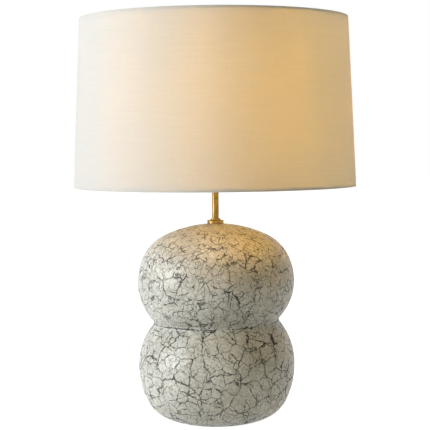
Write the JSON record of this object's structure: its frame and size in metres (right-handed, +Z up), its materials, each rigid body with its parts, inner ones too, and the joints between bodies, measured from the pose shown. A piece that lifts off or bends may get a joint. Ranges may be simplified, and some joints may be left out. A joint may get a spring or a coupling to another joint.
{
  "type": "table lamp",
  "caption": "Table lamp with a crackle-glazed double gourd body, brass stem, socket, bulb and harp, and a tapered drum shade held by a finial.",
  "frame": {"origin": "on the floor, under the middle of the foot, on the lamp's upright axis", "axes": "+Z up along the stem; the front, which the picture shows, looks along -Y; +X to the viewer's right"},
  "size_m": [0.4826, 0.4826, 0.7],
  "materials": {
    "crackle_glaze": "satin crackle glaze",
    "felt": "pressed felt",
    "plated_steel": "zinc plate",
    "soft_rubber": "matt",
    "brushed_brass": "antique brushed",
    "bright_brass": "satin",
    "phenolic": "moulded",
    "spindle_steel": "plain",
    "fibre_card": "plain",
    "bulb_metal": "bright",
    "frosted_glass": "frosted",
    "ivory_fabric": "fine plain weave",
    "styrene": "satin",
    "white_steel": "white powder coat"
  },
  "bodies": {
    "base": {"gourd_body": "crackle_glaze", "foot_felt": "felt", "base_plate": "plated_steel", "rod_washer": "plated_steel", "rod_nut": "plated_steel", "threaded_rod": "plated_steel", "cord_grommet": "soft_rubber", "top_washer": "soft_rubber", "collar": "brushed_brass", "stem_tube": "brushed_brass", "neck_ring": "brushed_brass", "harp_saddle": "bright_brass", "saddle_nut": "brushed_brass", "harp_bow": "bright_brass", "harp_crown": "bright_brass", "socket_cap": "bright_brass", "cap_set_screw": "plated_steel", "socket_core": "phenolic", "terminal_screws": "bright_brass", "centre_contact": "bright_brass", "screw_shell": "bright_brass", "insulating_sleeve": "fibre_card", "socket_shell": "bright_brass"},
    "switch": {"switch_spindle": "spindle_steel", "switch_knob": "phenolic"},
    "ferrule_left": {"ferrule_left": "bright_brass"},
    "ferrule_right": {"ferrule_right": "bright_brass"},
    "stud": {"harp_stud": "bright_brass"},
    "shade": {"shade_fabric": "ivory_fabric", "shade_liner": "styrene", "top_ring": "white_steel", "bottom_ring": "white_steel", "top_hem": "ivory_fabric", "bottom_hem": "ivory_fabric", "spider_hub": "white_steel", "spider_arms": "white_steel"},
    "finial_thread": {"finial_insert": "brushed_brass"},
    "finial_knob": {"finial": "brushed_brass"},
    "bulb_tip": {"bulb_contact": "bulb_metal", "bulb_insulator": "phenolic"},
    "bulb": {"bulb_cap": "bulb_metal", "bulb_glass": "frosted_glass"}
  },
  "joints": [
    {"name": "switch_turn", "type": "hinge", "parent": "base", "child": "switch", "pos_m": [0, -0.0202, 0.47257], "axis": [0, -1, 0], "continuous": true},
    {"name": "ferrule_left_lift", "type": "slide", "parent": "base", "child": "ferrule_left", "axis": [0, 0, 1], "range_m": [0, 0.018]},
    {"name": "ferrule_right_lift", "type": "slide", "parent": "base", "child": "ferrule_right", "axis": [0, 0, 1], "range_m": [0, 0.018]},
    {"name": "shade_swivel", "type": "hinge", "parent": "base", "child": "stud", "pos_m": [0, 0, 0.67087], "axis": [0, 0, 1], "continuous": true},
    {"name": "shade_lift", "type": "slide", "parent": "stud", "child": "shade", "axis": [0, 0, 1], "range_m": [0, 0.29]},
    {"name": "finial_rise", "type": "slide", "parent": "shade", "child": "finial_thread", "axis": [0, 0, 1], "range_m": [0, 0.01181]},
    {"name": "finial_turn", "type": "hinge", "parent": "finial_thread", "child": "finial_knob", "pos_m": [0, 0, 0.67457], "axis": [0, 0, 1], "range_deg": [0, 4500]},
    {"name": "bulb_rise", "type": "slide", "parent": "base", "child": "bulb_tip", "axis": [0, 0, 1], "range_m": [0, 0.02545]},
    {"name": "bulb_turn", "type": "hinge", "parent": "bulb_tip", "child": "bulb", "pos_m": [0, 0, 0.51607], "axis": [0, 0, 1], "range_deg": [0, 2520]}
  ],
  "couplings": [
    {"joint": "finial_rise", "follows": "finial_turn", "m_per_rad": 0.00014972},
    {"joint": "bulb_rise", "follows": "bulb_turn", "m_per_rad": 0.0005775}
  ]
}
